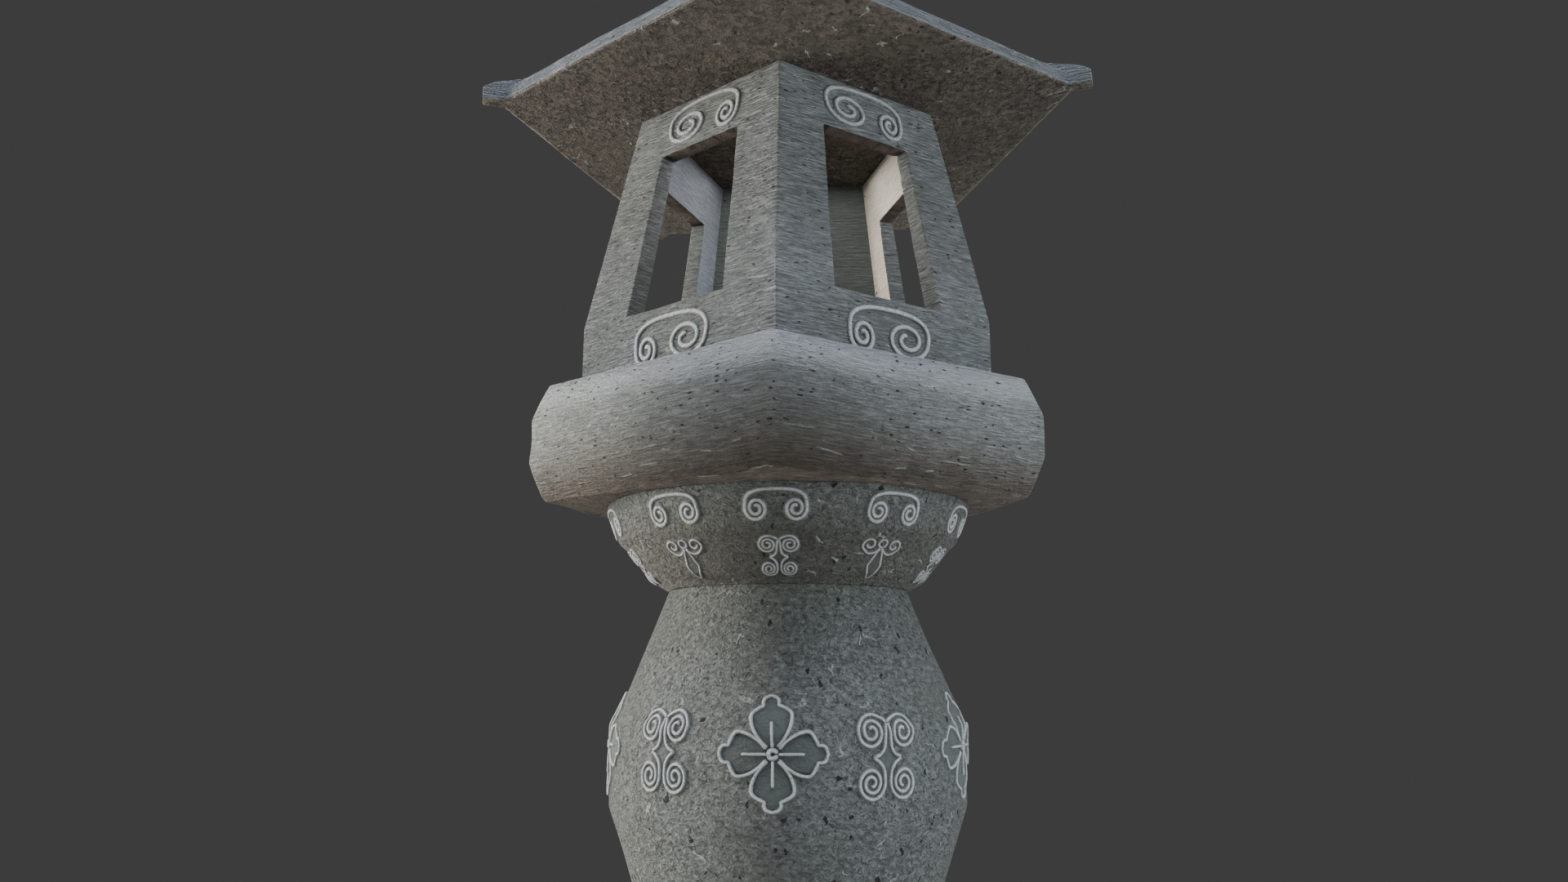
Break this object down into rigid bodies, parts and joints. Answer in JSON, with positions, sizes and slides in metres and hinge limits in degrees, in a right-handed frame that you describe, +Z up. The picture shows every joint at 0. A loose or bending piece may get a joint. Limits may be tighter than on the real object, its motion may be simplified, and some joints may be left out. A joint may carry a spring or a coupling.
{
  "type": "stone garden lantern",
  "caption": "Stone garden lantern: a bulging carved shaft on a plinth carries a bowl, a platform, an open light box with tapering windows, and a pitched roof with a jewel finial.",
  "frame": {"origin": "on the ground, on the lantern's vertical axis", "axes": "+Z up; a corner of every five-sided stone points along -Y, and the back wall of the light box faces +Y"},
  "size_m": [0.7242, 0.6887, 1.547],
  "materials": {
    "stone_base": "dressed, weathered, fine-grained",
    "stone_shaft": "dressed, weathered, carved",
    "stone_box": "tooled in level streaks, carved",
    "stone_roof": "dressed, weathered, brown with damp underneath",
    "bronze": "dull, tarnished",
    "iron": "dark, lightly rusted",
    "wax": "waxy",
    "wick": "braided cotton, charred at the tip"
  },
  "bodies": {
    "plinth": {"plinth": "stone_base", "plinth_dowel": "iron"},
    "foot": {"foot": "stone_base", "foot_dowel": "iron"},
    "shaft": {"shaft": "stone_shaft", "shaft_dowel": "iron"},
    "bowl": {"bowl": "stone_shaft", "bowl_dowel": "iron"},
    "platform": {"platform": "stone_box", "sill_pins": "bronze"},
    "light_box": {"wall_left_front": "stone_box", "wall_right_front": "stone_box", "wall_right_rear": "stone_box", "wall_back": "stone_box", "wall_left_rear": "stone_box", "corner_cramps": "bronze", "head_pins": "bronze"},
    "roof": {"roof": "stone_roof", "roof_dowel": "iron"},
    "finial": {"finial": "stone_roof"},
    "lamp": {"lamp_pan": "iron"},
    "candle": {"candle": "wax", "wick": "wick"}
  },
  "joints": [
    {"name": "foot_lift", "type": "slide", "parent": "plinth", "child": "foot", "axis": [0, 0, 1], "range_m": [0, 0.06]},
    {"name": "shaft_lift", "type": "slide", "parent": "foot", "child": "shaft", "axis": [0, 0, 1], "range_m": [0, 0.06]},
    {"name": "bowl_lift", "type": "slide", "parent": "shaft", "child": "bowl", "axis": [0, 0, 1], "range_m": [0, 0.06]},
    {"name": "platform_lift", "type": "slide", "parent": "bowl", "child": "platform", "axis": [0, 0, 1], "range_m": [0, 0.06]},
    {"name": "light_box_lift", "type": "slide", "parent": "platform", "child": "light_box", "axis": [0, 0, 1], "range_m": [0, 0.03]},
    {"name": "roof_lift", "type": "slide", "parent": "light_box", "child": "roof", "axis": [0, 0, 1], "range_m": [0, 0.12]},
    {"name": "finial_lift", "type": "slide", "parent": "roof", "child": "finial", "axis": [0, 0, 1], "range_m": [0, 0.06]},
    {"name": "lamp_lift", "type": "slide", "parent": "platform", "child": "lamp", "axis": [0, 0, 1], "range_m": [0, 0.09]},
    {"name": "candle_lift", "type": "slide", "parent": "lamp", "child": "candle", "axis": [0, 0, 1], "range_m": [0, 0.05]}
  ]
}
